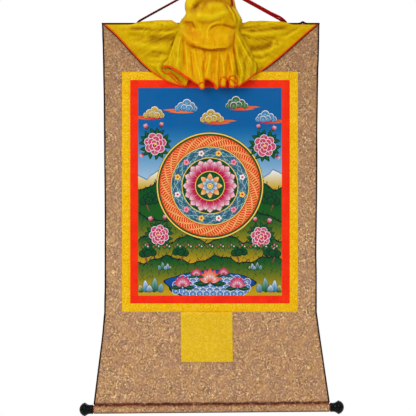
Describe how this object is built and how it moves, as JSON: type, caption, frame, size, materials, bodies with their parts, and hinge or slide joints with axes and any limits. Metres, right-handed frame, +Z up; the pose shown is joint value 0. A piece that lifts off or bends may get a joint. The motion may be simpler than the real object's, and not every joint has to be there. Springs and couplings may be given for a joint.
{
  "type": "thangka scroll painting with top rod and bottom roller",
  "caption": "Hanging scroll: a painted panel in red and yellow silk borders on brocade, cord and rod above, knobbed roller below, gathered yellow veil.",
  "frame": {"origin": "the hang point: the underside of the cord's bend, where a nail or hook holds it", "axes": "+Z up the scroll, +Y into the wall behind it, +X to the right as the picture is seen"},
  "size_m": [0.5426, 0.0542, 0.896],
  "materials": {
    "painted_canvas": "matt distemper painting on primed cotton",
    "red_brocade": "red silk strip, soft sheen",
    "yellow_brocade": "golden yellow patterned silk, soft sheen",
    "beige_brocade": "rose and gold figured brocade",
    "dark_tape": "dark maroon woven edge tape",
    "plain_wood": "plain dowel, hidden in its sleeve",
    "black_lacquer": "turned wood in gloss black lacquer",
    "red_cord": "twisted dark red cord",
    "yellow_silk": "thin yellow silk with an orange overlocked hem"
  },
  "bodies": {
    "root": {"painting": "painted_canvas", "red_left": "red_brocade", "red_right": "red_brocade", "red_top": "red_brocade", "red_bottom": "red_brocade", "yellow_left": "yellow_brocade", "yellow_right": "yellow_brocade", "yellow_top": "yellow_brocade", "yellow_bottom": "yellow_brocade", "brocade_top": "beige_brocade", "brocade_left": "beige_brocade", "brocade_right": "beige_brocade", "brocade_bottom": "beige_brocade", "door_patch": "yellow_brocade", "binding_left": "dark_tape", "binding_right": "dark_tape", "binding_top": "dark_tape", "top_rod": "plain_wood", "bottom_roller": "plain_wood", "knob_left": "black_lacquer", "knob_right": "black_lacquer", "hanging_cord": "red_cord", "spare_cord": "red_cord", "cord_knot_left": "red_cord", "cord_knot_right": "red_cord", "veil": "yellow_silk"}
  },
  "joints": []
}
